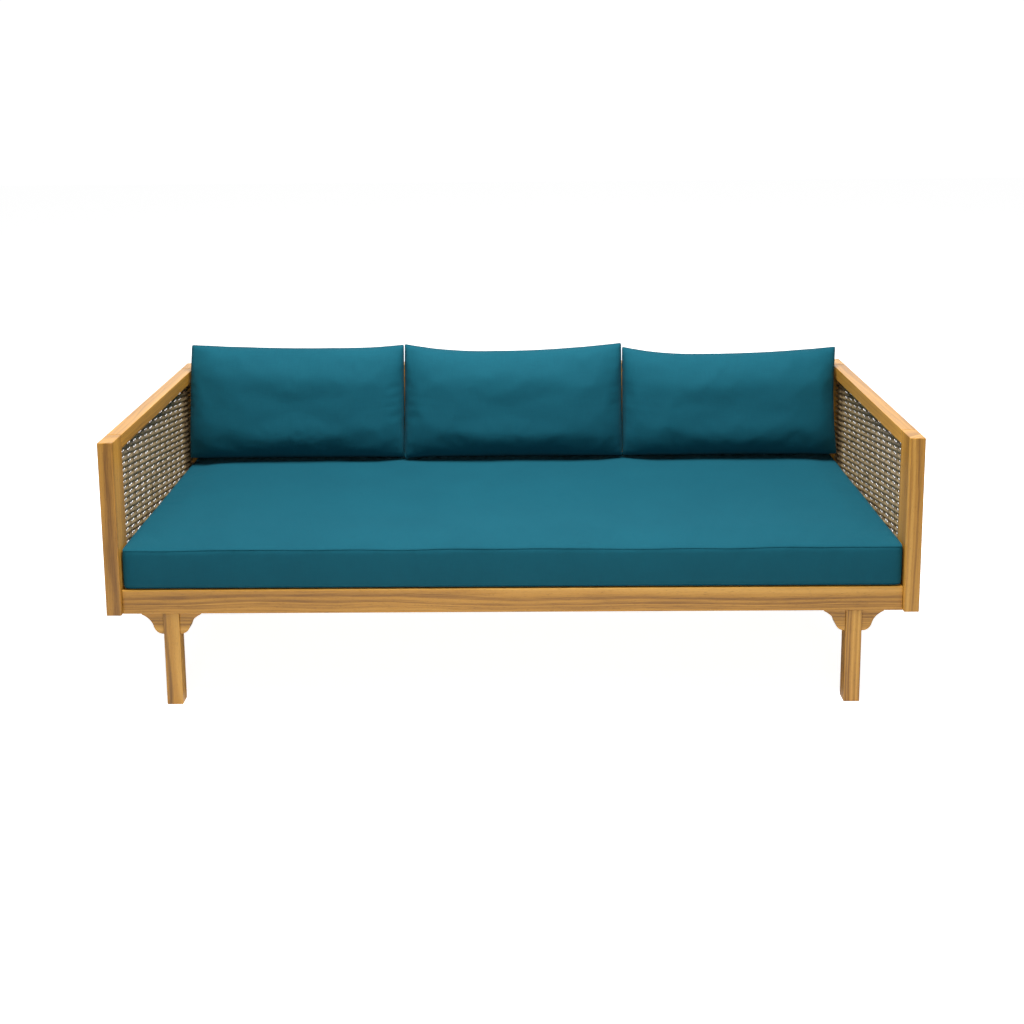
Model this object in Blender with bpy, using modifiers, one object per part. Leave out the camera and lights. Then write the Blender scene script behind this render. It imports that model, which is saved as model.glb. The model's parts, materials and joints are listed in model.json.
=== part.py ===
"""Three-seat daybed: a wooden frame with woven side and back panels, a slatted deck, one long seat
cushion and three loose back cushions.

Metres, +Z up. The origin is on the floor under the middle of the daybed. +X is its right-hand end
for someone facing it, and the open front faces -Y.
"""

import math

import bmesh
import bpy
from mathutils import Matrix
from mathutils import Vector
from mathutils.geometry import interpolate_bezier

# Overall sizes
WIDTH = 2.000
DEPTH = 0.820
ARM_HEIGHT = 0.682
UNDERSIDE = 0.241

# Frame timber
STOCK = 0.037
POST_DEPTH = 0.072
TOP_RAIL_HEIGHT = 0.036
SEAT_RAIL_HEIGHT = 0.061
FRONT_RAIL_THICK = 0.040
FRONT_RAIL_SETBACK = 0.011
EDGE_ROUND = 0.0016

# Mortise and tenon joints
TENON_LENGTH = 0.022
TENON_THICK = 0.014
TENON_SHOULDER = 0.010
TENON_ROOT = 0.006

# Legs and the curved brackets beside them
LEG_WIDTH = 0.040
LEG_DEPTH = 0.036
LEG_INSET = 0.135
LEG_SETBACK = 0.003
BRACKET_WIDTH = 0.054
BRACKET_HEIGHT = 0.055
BRACKET_THICK = 0.030
BRACKET_LIP = 0.004

# Woven panels
WEAVE_THICK = 0.021
WEAVE_PITCH = 0.008
WEAVE_GROOVE = 0.0022
BACK_BAYS = 3

# Slatted deck
SLATS = 12
SLAT_WIDTH = 0.070
SLAT_THICK = 0.018
LEDGER = 0.022
BEAM_HEIGHT = 0.038

# Bolts that join the two ends to the long rails
BOLT_SHANK = 0.006
BOLT_HEAD = 0.010
BOLT_HEAD_THICK = 0.006
BOLT_SOCKET = 0.005
BOLT_REACH = 0.045
HEAD_RECESS = 0.008

# Cushions
SEAT_THICK = 0.104
SEAT_CROWN = 0.012
SEAT_ROUND = 0.013
SEAT_FIT = 0.0015
SEAT_BACK_FIT = 0.004
PILLOW_HEIGHT = 0.336
PILLOW_THICK = 0.140
PILLOW_SEAM = 0.007
PILLOW_DIP = 0.012
PILLOW_LEAN = math.radians(8.0)
PILLOW_BACK_GAP = 0.009
PILLOW_SPACE = 0.0012

# Gaps between neighbours
FIT = 0.0003

# Worked out from the sizes above
HALF_WIDTH = WIDTH / 2
HALF_DEPTH = DEPTH / 2
INNER_X = HALF_WIDTH - STOCK
DECK_TOP = UNDERSIDE + SEAT_RAIL_HEIGHT
TOP_RAIL_LOW = ARM_HEIGHT - TOP_RAIL_HEIGHT
POST_INNER_Y = HALF_DEPTH - POST_DEPTH
FRONT_FACE_Y = -HALF_DEPTH + FRONT_RAIL_SETBACK
FRONT_RAIL_BACK_Y = FRONT_FACE_Y + FRONT_RAIL_THICK
BACK_FACE_Y = HALF_DEPTH - STOCK
SIDES = (("left", -1), ("right", 1))

# name: (colour, roughness, metallic)
FINISHES = {
    "oiled_hardwood": ((0.46, 0.25, 0.095, 1.0), 0.50, 0.0),
    "deck_hardwood": ((0.38, 0.20, 0.080, 1.0), 0.62, 0.0),
    "woven_strand": ((0.27, 0.21, 0.135, 1.0), 0.55, 0.0),
    "teal_fabric": ((0.016, 0.105, 0.140, 1.0), 0.92, 0.0),
    "bolt_steel": ((0.56, 0.55, 0.53, 1.0), 0.35, 1.0),
}


def clear_scene():
    """Starts from an empty file."""
    for thing in list(bpy.data.objects):
        bpy.data.objects.remove(thing, do_unlink=True)
    for group in list(bpy.data.collections):
        bpy.data.collections.remove(group)


def new_collection(name):
    """A collection under the scene's own."""
    group = bpy.data.collections.new(name)
    bpy.context.scene.collection.children.link(group)
    return group


def finish(name):
    """The named Principled material, made on first use."""
    found = bpy.data.materials.get(name)
    if found:
        return found
    colour, roughness, metallic = FINISHES[name]
    made = bpy.data.materials.new(name)
    made.use_nodes = True
    made.diffuse_color = colour
    shader = made.node_tree.nodes["Principled BSDF"]
    shader.inputs["Base Color"].default_value = colour
    shader.inputs["Roughness"].default_value = roughness
    shader.inputs["Metallic"].default_value = metallic
    return made


def add_object(name, mesh, group, material=None):
    """Links a finished mesh as one named object."""
    thing = bpy.data.objects.new(name, mesh)
    group.objects.link(thing)
    if material:
        mesh.materials.append(finish(material))
    return thing


def mesh_from(bm, name):
    """Turns a bmesh into a mesh with its faces pointing outward."""
    bmesh.ops.recalc_face_normals(bm, faces=bm.faces)
    mesh = bpy.data.meshes.new(name)
    bm.to_mesh(mesh)
    bm.free()
    return mesh


def box_mesh(name, size):
    """A box of the given size round its own origin."""
    bm = bmesh.new()
    bmesh.ops.create_cube(bm, size=1.0, matrix=Matrix.Diagonal((*size, 1.0)))
    return mesh_from(bm, name)


def board(name, low, high, group, material, rounding=EDGE_ROUND):
    """A timber piece between two opposite corners, with eased edges."""
    low = Vector(low)
    high = Vector(high)
    thing = add_object(name, box_mesh(name, high - low), group, material)
    thing.location = (low + high) / 2
    bevel = thing.modifiers.new("eased edges", "BEVEL")
    bevel.width = rounding
    bevel.segments = 2
    bevel.limit_method = "ANGLE"
    return thing


def tool(name, mesh, location, group):
    """A cutter or an added part, kept out of the finished model."""
    thing = add_object(name, mesh, group)
    thing.location = location
    thing.hide_render = True
    thing.display_type = "WIRE"
    return thing


def box_tool(name, low, high, group):
    """A box cutter between two opposite corners."""
    low = Vector(low)
    high = Vector(high)
    return tool(name, box_mesh(name, high - low), (low + high) / 2, group)


def rod_mesh(name, radius, length, sides):
    """A prism or cylinder along X, round its own origin."""
    bm = bmesh.new()
    turn = Matrix.Rotation(math.pi / 2, 4, "Y")
    bmesh.ops.create_cone(
        bm,
        cap_ends=True,
        segments=sides,
        radius1=radius,
        radius2=radius,
        depth=length,
        matrix=turn,
    )
    return mesh_from(bm, name)


def rod_tool(name, diameter, start, end, group, sides=24):
    """A round cutter along X from start to end, two points with the same Y and Z."""
    start = Vector(start)
    end = Vector(end)
    mesh = rod_mesh(name, diameter / 2, (end - start).length, sides)
    return tool(name, mesh, (start + end) / 2, group)


def combine(target, other, operation):
    """Adds or takes away another object's volume."""
    step = target.modifiers.new(other.name, "BOOLEAN")
    step.operation = operation
    step.solver = "EXACT"
    step.object = other
    return step


def tenon_joint(rail, post, point, along, section, cutters, length=TENON_LENGTH):
    """A tenon on the rail's end and its mortise in the post.

    point is the middle of the shoulder, along the unit direction into the post and section the
    tenon's full size with 0 along that direction.
    """
    point = Vector(point)
    along = Vector(along)
    half = Vector(section) / 2
    start = point - along * TENON_ROOT
    end = point + along * length
    low = [min(a, b) - h for a, b, h in zip(start, end, half)]
    high = [max(a, b) + h for a, b, h in zip(start, end, half)]
    name = f"{rail.name}.tenon.{post.name}"
    combine(rail, box_tool(name, low, high, cutters), "UNION")
    room = Vector(h + FIT if h else 0.0 for h in half)
    start = point - along * TENON_ROOT
    end = point + along * (length + FIT)
    low = [min(a, b) - h for a, b, h in zip(start, end, room)]
    high = [max(a, b) + h for a, b, h in zip(start, end, room)]
    name = f"{rail.name}.mortise.{post.name}"
    combine(post, box_tool(name, low, high, cutters), "DIFFERENCE")


def weave_mesh(name, length, height):
    """A woven panel in the YZ plane: a slab with a shallow groove between each pair of rows."""
    rows = max(2, round(height / WEAVE_PITCH))
    crest = WEAVE_THICK / 2
    valley = crest - WEAVE_GROOVE
    levels = [-height / 2 + height * i / (2 * rows) for i in range(2 * rows + 1)]
    outline = [(crest if i % 2 else valley, z) for i, z in enumerate(levels)]
    outline += [(-x, z) for x, z in reversed(outline)]
    bm = bmesh.new()
    ring = [bm.verts.new((x, -length / 2, z)) for x, z in outline]
    end = bm.faces.new(ring)
    grown = bmesh.ops.extrude_face_region(bm, geom=[end])
    moved = [v for v in grown["geom"] if isinstance(v, bmesh.types.BMVert)]
    bmesh.ops.translate(bm, verts=moved, vec=(0.0, length, 0.0))
    # One long face would twist between its grooves, so each end is split row by row.
    ends = [f for f in bm.faces if len(f.verts) > 4]
    bmesh.ops.triangulate(bm, faces=ends)
    return mesh_from(bm, name)


def weave(name, centre, length, height, turn, group):
    """A woven panel; turn is its rotation about the vertical."""
    mesh = weave_mesh(name, length, height)
    mesh.transform(Matrix.Rotation(turn, 4, "Z"))
    thing = add_object(name, mesh, group, "woven_strand")
    thing.location = centre
    return thing


def bracket_outline():
    """The bracket's outline: x outward from the leg, z down from the rail. A hollow then a swell."""
    wide = BRACKET_WIDTH
    tall = BRACKET_HEIGHT
    tip = Vector((wide, -BRACKET_LIP))
    middle = Vector((0.47 * wide, -0.62 * tall))
    foot = Vector((0.0, -tall))
    hollow = interpolate_bezier(
        tip,
        Vector((0.80 * wide, -0.16 * tall)),
        Vector((0.56 * wide, -0.32 * tall)),
        middle,
        9,
    )
    swell = interpolate_bezier(
        middle,
        Vector((0.41 * wide, -0.86 * tall)),
        Vector((0.26 * wide, -tall)),
        foot,
        9,
    )
    return [Vector((0.0, 0.0)), Vector((wide, 0.0))] + hollow + swell[1:]


def bracket(name, corner, outward, group):
    """A curved bracket in the corner between a leg and a rail. outward is +1 or -1 along X."""
    bm = bmesh.new()
    half = BRACKET_THICK / 2
    ring = [bm.verts.new((outward * p.x, -half, p.y)) for p in bracket_outline()]
    face = bm.faces.new(ring)
    grown = bmesh.ops.extrude_face_region(bm, geom=[face])
    moved = [v for v in grown["geom"] if isinstance(v, bmesh.types.BMVert)]
    bmesh.ops.translate(bm, verts=moved, vec=(0.0, BRACKET_THICK, 0.0))
    thing = add_object(name, mesh_from(bm, name), group, "oiled_hardwood")
    thing.location = corner
    bevel = thing.modifiers.new("eased edges", "BEVEL")
    bevel.width = EDGE_ROUND / 2
    bevel.segments = 1
    bevel.limit_method = "ANGLE"
    bevel.angle_limit = math.radians(50)
    return thing


def build_arm(side, sign, group, cutters):
    """One end of the daybed: two posts, two rails and the woven panel between them."""
    low_x = min(sign * HALF_WIDTH, sign * INNER_X)
    high_x = max(sign * HALF_WIDTH, sign * INNER_X)
    middle_x = (low_x + high_x) / 2
    made = {}
    for end, y_sign in (("front", -1), ("back", 1)):
        near = min(y_sign * HALF_DEPTH, y_sign * POST_INNER_Y)
        far = max(y_sign * HALF_DEPTH, y_sign * POST_INNER_Y)
        name = f"arm_{side}_{end}_post"
        made[end] = board(
            name,
            (low_x, near, UNDERSIDE),
            (high_x, far, ARM_HEIGHT),
            group,
            "oiled_hardwood",
        )
    reach = POST_INNER_Y - FIT
    for level, low_z, high_z in (
        ("top", TOP_RAIL_LOW, ARM_HEIGHT),
        ("bottom", UNDERSIDE, DECK_TOP),
    ):
        rail = board(
            f"arm_{side}_{level}_rail",
            (low_x, -reach, low_z),
            (high_x, reach, high_z),
            group,
            "oiled_hardwood",
        )
        section = (TENON_THICK, 0.0, high_z - low_z - 2 * TENON_SHOULDER)
        for end, y_sign in (("front", -1), ("back", 1)):
            point = (middle_x, y_sign * reach, (low_z + high_z) / 2)
            tenon_joint(
                rail, made[end], point, (0.0, y_sign, 0.0), section, cutters
            )
        made[level] = rail
    weave(
        f"arm_{side}_weave",
        (middle_x, 0.0, (DECK_TOP + TOP_RAIL_LOW) / 2),
        2 * reach,
        TOP_RAIL_LOW - DECK_TOP - 2 * FIT,
        0.0,
        group,
    )
    return made


def build_back(group, cutters):
    """The back: top rail, rear seat rail, upright stiles and a woven panel in each bay."""
    reach = INNER_X - FIT
    middle_y = HALF_DEPTH - STOCK / 2
    top = board(
        "back_top_rail",
        (-reach, BACK_FACE_Y, TOP_RAIL_LOW),
        (reach, HALF_DEPTH, ARM_HEIGHT),
        group,
        "oiled_hardwood",
    )
    bottom = board(
        "rear_seat_rail",
        (-reach, BACK_FACE_Y, UNDERSIDE),
        (reach, HALF_DEPTH, DECK_TOP),
        group,
        "oiled_hardwood",
    )
    bay = (2 * INNER_X - (BACK_BAYS - 1) * STOCK) / BACK_BAYS
    low_z = DECK_TOP + FIT
    high_z = TOP_RAIL_LOW - FIT
    section = (STOCK - 2 * TENON_SHOULDER, TENON_THICK, 0.0)
    for i in range(BACK_BAYS - 1):
        centre_x = -INNER_X + (i + 1) * bay + (i + 0.5) * STOCK
        stile = board(
            f"back_stile_{i + 1}",
            (centre_x - STOCK / 2, BACK_FACE_Y, low_z),
            (centre_x + STOCK / 2, HALF_DEPTH, high_z),
            group,
            "oiled_hardwood",
        )
        point = (centre_x, middle_y, low_z)
        tenon_joint(stile, bottom, point, (0.0, 0.0, -1.0), section, cutters)
        point = (centre_x, middle_y, high_z)
        tenon_joint(stile, top, point, (0.0, 0.0, 1.0), section, cutters)
    for i in range(BACK_BAYS):
        centre_x = -INNER_X + (i + 0.5) * bay + i * STOCK
        weave(
            f"back_weave_{i + 1}",
            (centre_x, middle_y, (DECK_TOP + TOP_RAIL_LOW) / 2),
            bay - 2 * FIT,
            high_z - low_z,
            math.pi / 2,
            group,
        )
    return top, bottom


def build_deck(group):
    """The front seat rail, ledgers, middle beam and slats. Returns the front rail and the beam."""
    reach = INNER_X - FIT
    front = board(
        "front_seat_rail",
        (-reach, FRONT_FACE_Y, UNDERSIDE),
        (reach, FRONT_RAIL_BACK_Y, DECK_TOP),
        group,
        "oiled_hardwood",
    )
    slat_low = DECK_TOP - SLAT_THICK
    ledger_top = slat_low - FIT
    for name, low_y in (
        ("front_ledger", FRONT_RAIL_BACK_Y + FIT),
        ("rear_ledger", BACK_FACE_Y - FIT - LEDGER),
    ):
        board(
            name,
            (-reach, low_y, ledger_top - LEDGER),
            (reach, low_y + LEDGER, ledger_top),
            group,
            "deck_hardwood",
            EDGE_ROUND / 2,
        )
    middle_y = (FRONT_RAIL_BACK_Y + BACK_FACE_Y) / 2
    beam = board(
        "middle_beam",
        (-reach, middle_y - STOCK / 2, ledger_top - BEAM_HEIGHT),
        (reach, middle_y + STOCK / 2, ledger_top),
        group,
        "deck_hardwood",
        EDGE_ROUND / 2,
    )
    space = (2 * INNER_X - SLATS * SLAT_WIDTH) / (SLATS + 1)
    for i in range(SLATS):
        low_x = -INNER_X + space + i * (space + SLAT_WIDTH)
        board(
            f"slat_{i + 1:02d}",
            (low_x, FRONT_RAIL_BACK_Y + FIT, slat_low),
            (low_x + SLAT_WIDTH, BACK_FACE_Y - FIT, DECK_TOP),
            group,
            "deck_hardwood",
        )
    return front, beam


def build_legs(front_rail, rear_rail, group, cutters):
    """Four legs tenoned up into the rails, each with a bracket on either side."""
    leg_top = UNDERSIDE - FIT
    for end, rail, centre_y in (
        ("front", front_rail, FRONT_FACE_Y + LEG_SETBACK + LEG_DEPTH / 2),
        ("back", rear_rail, HALF_DEPTH - LEG_DEPTH / 2 - FIT),
    ):
        for side, sign in SIDES:
            centre_x = sign * (HALF_WIDTH - LEG_INSET - LEG_WIDTH / 2)
            leg = board(
                f"leg_{end}_{side}",
                (centre_x - LEG_WIDTH / 2, centre_y - LEG_DEPTH / 2, 0.0),
                (centre_x + LEG_WIDTH / 2, centre_y + LEG_DEPTH / 2, leg_top),
                group,
                "oiled_hardwood",
            )
            section = (
                LEG_WIDTH - 2 * TENON_SHOULDER,
                LEG_DEPTH - 2 * TENON_SHOULDER,
                0.0,
            )
            point = (centre_x, centre_y, leg_top)
            tenon_joint(leg, rail, point, (0.0, 0.0, 1.0), section, cutters)
            for face, outward in (("a", -1), ("b", 1)):
                corner_x = centre_x + outward * (LEG_WIDTH / 2 + FIT)
                bracket(
                    f"bracket_{end}_{side}_{face}",
                    (corner_x, centre_y, leg_top),
                    outward,
                    group,
                )


def bolt_mesh(name, sign, reach):
    """A socket-head bolt along X; its origin is under the head and the shank points inward."""
    bm = bmesh.new()
    turn = Matrix.Rotation(math.pi / 2, 4, "Y")
    outline = (
        (0.0, BOLT_HEAD_THICK),
        (BOLT_HEAD / 2 - 0.0006, BOLT_HEAD_THICK),
        (BOLT_HEAD / 2, BOLT_HEAD_THICK - 0.0006),
        (BOLT_HEAD / 2, 0.0),
        (BOLT_SHANK / 2, 0.0),
        (BOLT_SHANK / 2, -reach + 0.001),
        (BOLT_SHANK / 2 - 0.001, -reach),
        (0.0, -reach),
    )
    points = [bm.verts.new((r, 0.0, z)) for r, z in outline]
    edges = [bm.edges.new(pair) for pair in zip(points, points[1:])]
    bmesh.ops.spin(
        bm,
        geom=points + edges,
        cent=(0.0, 0.0, 0.0),
        axis=(0.0, 0.0, 1.0),
        angle=math.tau,
        steps=24,
        use_merge=True,
    )
    bmesh.ops.remove_doubles(bm, verts=bm.verts, dist=0.00001)
    bm.transform(turn)
    if sign < 0:
        bm.transform(Matrix.Rotation(math.pi, 4, "Z"))
    return mesh_from(bm, name)


def bolt(name, sign, y, z, rail, post, group, cutters):
    """A bolt through a post into the end of a rail, with its hole, recess and pilot hole."""
    head_x = HALF_WIDTH - HEAD_RECESS
    tip_x = INNER_X - BOLT_REACH
    thing = add_object(
        name, bolt_mesh(name, sign, head_x - FIT - tip_x), group, "bolt_steel"
    )
    thing.location = (sign * (head_x + FIT), y, z)
    for polygon in thing.data.polygons:
        polygon.use_smooth = abs(polygon.normal.x) < 0.5
    socket_x = head_x + FIT + BOLT_HEAD_THICK
    socket = rod_tool(
        f"{name}.socket",
        BOLT_SOCKET * 2 / math.sqrt(3),
        (sign * (socket_x - 0.0035), y, z),
        (sign * (socket_x + 0.002), y, z),
        cutters,
        6,
    )
    combine(thing, socket, "DIFFERENCE")
    hole = BOLT_SHANK + 4 * FIT
    through = rod_tool(
        f"{name}.hole",
        hole,
        (sign * (tip_x - 2 * FIT), y, z),
        (sign * (HALF_WIDTH + 0.002), y, z),
        cutters,
    )
    recess = rod_tool(
        f"{name}.recess",
        BOLT_HEAD + 4 * FIT,
        (sign * head_x, y, z),
        (sign * (HALF_WIDTH + 0.002), y, z),
        cutters,
    )
    combine(post, through, "DIFFERENCE")
    combine(post, recess, "DIFFERENCE")
    combine(rail, through, "DIFFERENCE")


def soft_mesh(name, cuts, place):
    """A closed body on a finely cut cube. place turns each of its points (-1 to 1) into metres."""
    bm = bmesh.new()
    bmesh.ops.create_cube(bm, size=2.0)
    bmesh.ops.subdivide_edges(bm, edges=bm.edges, cuts=cuts, use_grid_fill=True)
    for vert in bm.verts:
        vert.co = place(vert.co.copy())
    for face in bm.faces:
        face.smooth = True
    return mesh_from(bm, name)


def seat_top(u, v):
    """Height of the seat cushion's top above its edge, at -1 to 1 across and front to back."""
    return SEAT_CROWN * (1 - u**6) * (1 - v**4)


def build_seat_cushion(group):
    """One long box cushion with rounded edges and a slightly domed top."""
    low_y = FRONT_FACE_Y + SEAT_FIT
    high_y = BACK_FACE_Y - SEAT_BACK_FIT
    half_x = INNER_X - SEAT_FIT
    half_y = (high_y - low_y) / 2
    low_z = DECK_TOP + 2 * FIT

    def place(p):
        lift = seat_top(p.x, p.y) * (p.z + 1) / 2
        height = (p.z + 1) / 2 * SEAT_THICK + lift
        return Vector((p.x * half_x, p.y * half_y, height))

    thing = add_object(
        "seat_cushion", soft_mesh("seat_cushion", 5, place), group, "teal_fabric"
    )
    thing.location = (0.0, (low_y + high_y) / 2, low_z)
    bevel = thing.modifiers.new("rounded edges", "BEVEL")
    bevel.width = SEAT_ROUND
    bevel.segments = 3
    bevel.limit_method = "ANGLE"
    bevel.angle_limit = math.radians(50)
    return thing


def build_back_cushions(seat, group):
    """Three loose cushions that stand on the seat cushion and lean back a little."""
    half_seat_y = (BACK_FACE_Y - SEAT_BACK_FIT - FRONT_FACE_Y - SEAT_FIT) / 2
    bay = 2 * INNER_X / BACK_BAYS
    half_x = bay / 2 - PILLOW_SPACE
    half_z = PILLOW_HEIGHT / 2

    def place(p):
        swell = math.sqrt(max(0.0, (1 - p.x**4) * (1 - p.y**4)))
        thick = PILLOW_SEAM + (PILLOW_THICK - PILLOW_SEAM) * swell
        x = p.x * (half_x - PILLOW_DIP * 0.5 * (1 - p.y**2))
        y = p.y * (half_z - PILLOW_DIP * (1 - p.x**2))
        return Vector((x, y, p.z * thick / 2))

    stand = Matrix.Rotation(math.pi / 2, 4, "X")
    lean = Matrix.Rotation(-PILLOW_LEAN, 4, "X")
    for i in range(BACK_BAYS):
        name = f"back_cushion_{i + 1}"
        mesh = soft_mesh(name, 9, place)
        mesh.transform(lean @ stand)
        low_z = min(v.co.z for v in mesh.vertices)
        high_y = max(v.co.y for v in mesh.vertices)
        centre_y = BACK_FACE_Y - PILLOW_BACK_GAP - high_y
        # The lower edge lies forward of the middle, because the cushion leans back.
        foot_y = centre_y - math.sin(PILLOW_LEAN) * half_z
        across = max(0.0, (foot_y - seat.location.y) / half_seat_y - 0.05)
        foot_z = seat.location.z + SEAT_THICK + seat_top(0.0, across)
        thing = add_object(name, mesh, group, "teal_fabric")
        thing.location = (-INNER_X + (i + 0.5) * bay, centre_y, foot_z - low_z + 2 * FIT)


def build():
    """Builds the whole daybed."""
    clear_scene()
    group = new_collection("daybed")
    cutters = new_collection("daybed_cutters")
    arms = {
        side: build_arm(side, sign, group, cutters) for side, sign in SIDES
    }
    top_rail, rear_rail = build_back(group, cutters)
    front_rail, beam = build_deck(group)
    build_legs(front_rail, rear_rail, group, cutters)
    beam_z = beam.location.z
    beam_section = (0.0, STOCK - 2 * TENON_SHOULDER, BEAM_HEIGHT - 2 * TENON_SHOULDER)
    for side, sign in SIDES:
        arm = arms[side]
        point = (sign * (INNER_X - FIT), beam.location.y, beam_z)
        tenon_joint(
            beam, arm["bottom"], point, (sign, 0.0, 0.0), beam_section, cutters
        )
        for place, rail, post, y, z in (
            (
                "front_seat",
                front_rail,
                arm["front"],
                (FRONT_FACE_Y + FRONT_RAIL_BACK_Y) / 2,
                (UNDERSIDE + DECK_TOP) / 2,
            ),
            (
                "rear_seat",
                rear_rail,
                arm["back"],
                HALF_DEPTH - STOCK / 2,
                (UNDERSIDE + DECK_TOP) / 2,
            ),
            (
                "back_top",
                top_rail,
                arm["back"],
                HALF_DEPTH - STOCK / 2,
                ARM_HEIGHT - TOP_RAIL_HEIGHT / 2,
            ),
        ):
            bolt(f"bolt_{place}_{side}", sign, y, z, rail, post, group, cutters)
    seat = build_seat_cushion(group)
    build_back_cushions(seat, group)


build()
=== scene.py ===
"""The finished look of a three-seat daybed: oiled timber, woven panels, sewn cushions and a plain studio."""

import json
import math

import bmesh
import bpy
import numpy as np
from bpy.props import FloatProperty
from bpy.props import FloatVectorProperty
from bpy.props import PointerProperty
from mathutils import Matrix
from mathutils import Vector
from mathutils.bvhtree import BVHTree


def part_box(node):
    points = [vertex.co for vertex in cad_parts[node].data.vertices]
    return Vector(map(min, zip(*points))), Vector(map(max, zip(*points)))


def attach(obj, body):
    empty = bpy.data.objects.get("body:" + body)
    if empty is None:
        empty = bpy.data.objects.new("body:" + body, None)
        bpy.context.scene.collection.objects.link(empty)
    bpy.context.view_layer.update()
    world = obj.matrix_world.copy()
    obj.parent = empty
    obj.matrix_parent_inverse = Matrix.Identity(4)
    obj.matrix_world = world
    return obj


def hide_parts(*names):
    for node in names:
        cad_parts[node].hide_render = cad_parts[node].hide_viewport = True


bl_info = {
    "name": "Daybed finishes",
    "version": (1, 0, 0),
    "blender": (4, 5, 0),
    "location": "3D View > Sidebar > Daybed",
    "description": "Finishes a daybed: timber, woven panels, cushions and a studio",
    "category": "Object",
}

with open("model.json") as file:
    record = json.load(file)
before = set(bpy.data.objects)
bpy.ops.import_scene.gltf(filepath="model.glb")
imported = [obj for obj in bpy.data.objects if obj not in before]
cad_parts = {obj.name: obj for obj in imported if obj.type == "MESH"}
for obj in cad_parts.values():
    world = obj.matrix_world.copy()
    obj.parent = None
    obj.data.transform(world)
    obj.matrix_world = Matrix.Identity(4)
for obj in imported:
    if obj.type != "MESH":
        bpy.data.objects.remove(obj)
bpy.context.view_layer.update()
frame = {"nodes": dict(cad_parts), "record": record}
NODES = frame["nodes"]
BACK_CUSHIONS = ("back_cushion_1", "back_cushion_2", "back_cushion_3")

# Clearances and small distances, in metres
WALL_ROOM = 0.0006
SEAT_ROOM = 0.0007
BACK_ROOM = 0.006
CUSHION_SAG = 0.010
FOOT_ZONE = 0.06
WEAVE_ROOM = 0.0006
BACK_REACH = 0.022
# A screw's place on its slat: in from the end and the edge, and how far its head is let in, so that
# the top of the head stays clear of the seat cushion
SCREW_FROM_END = 0.012
SCREW_FROM_EDGE = 0.018
SCREW_SUNK = 0.0003


# ---------------------------------------------------------------- node graphs


class Graph:
    """A node tree being built: adds nodes, feeds their inputs and names its own sockets."""

    def __init__(self, tree):
        self.tree = tree

    @classmethod
    def group(cls, name, kind, inputs, outputs):
        """A new node group with the given (name, socket type) inputs and outputs."""
        graph = cls(bpy.data.node_groups.new(name, kind))
        face = graph.tree.interface
        for label, socket in inputs:
            face.new_socket(label, in_out="INPUT", socket_type=socket)
        for label, socket in outputs:
            face.new_socket(label, in_out="OUTPUT", socket_type=socket)
        graph.source = graph.tree.nodes.new("NodeGroupInput").outputs
        graph.result = graph.tree.nodes.new("NodeGroupOutput").inputs
        return graph

    def close(self, geometry):
        """Ends the tree: real geometry in the material given to the group."""
        real = self.add("GeometryNodeRealizeInstances", {"Geometry": geometry})
        done = self.add(
            "GeometryNodeSetMaterial",
            {"Geometry": real.outputs[0], "Material": self.source["Material"]},
        )
        self.feed(self.result["Geometry"], done.outputs[0])
        return self

    def store(self, geometry, name, value):
        """Keeps a value on every point of the geometry, for the material to read."""
        return self.add(
            "GeometryNodeStoreNamedAttribute",
            {"Geometry": geometry, "Name": name, "Value": value},
            data_type="FLOAT",
            domain="POINT",
        ).outputs[0]

    def feed(self, socket, value):
        """Links a socket or sets a plain value."""
        if isinstance(value, bpy.types.NodeSocket):
            self.tree.links.new(value, socket)
        else:
            socket.default_value = value

    def add(self, kind, inputs=None, **settings):
        """A node with its settings and inputs."""
        made = self.tree.nodes.new(kind)
        for name, value in settings.items():
            setattr(made, name, value)
        for key, value in (inputs or {}).items():
            self.feed(made.inputs[key], value)
        return made

    def math(self, operation, first, second=0.0, third=0.0):
        """One Math node's result."""
        made = self.add(
            "ShaderNodeMath", {0: first, 1: second, 2: third}, operation=operation
        )
        return made.outputs[0]

    def vector(self, operation, first, second=(0.0, 0.0, 0.0)):
        """One Vector Math node's vector."""
        made = self.add(
            "ShaderNodeVectorMath", {0: first, 1: second}, operation=operation
        )
        return made.outputs["Vector"]

    def split(self, vector):
        """A vector's X, Y and Z."""
        return self.add("ShaderNodeSeparateXYZ", {0: vector}).outputs

    def join(self, x=0.0, y=0.0, z=0.0):
        """A vector from X, Y and Z."""
        return self.add("ShaderNodeCombineXYZ", {0: x, 1: y, 2: z}).outputs[0]

    def noise(self, vector, scale=1.0, detail=2.0, rough=0.5, **extra):
        """A three-dimensional noise value, from about 0.25 to 0.75."""
        made = self.add(
            "ShaderNodeTexNoise",
            {
                "Vector": vector,
                "Scale": scale,
                "Detail": detail,
                "Roughness": rough,
                **extra,
            },
        )
        return made.outputs[0]

    def spread(self, value, low, high, to_low=0.0, to_high=1.0):
        """A value moved from one range to another and held inside it."""
        made = self.add(
            "ShaderNodeMapRange",
            {
                "Value": value,
                "From Min": low,
                "From Max": high,
                "To Min": to_low,
                "To Max": to_high,
            },
            clamp=True,
        )
        return made.outputs["Result"]

    def blend(self, share, first, second, mode="MIX"):
        """One colour blended into another."""
        made = self.add(
            "ShaderNodeMix",
            {"Factor": share, 6: first, 7: second},
            data_type="RGBA",
            blend_type=mode,
        )
        return made.outputs[2]


def new_material(name):
    """An empty node material: its graph and its Principled shader."""
    material = bpy.data.materials.new(name)
    material.use_nodes = True
    material.node_tree.nodes.clear()
    graph = Graph(material.node_tree)
    shader = graph.add("ShaderNodeBsdfPrincipled")
    output = graph.add("ShaderNodeOutputMaterial")
    graph.feed(output.inputs["Surface"], shader.outputs["BSDF"])
    return material, graph, shader


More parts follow.
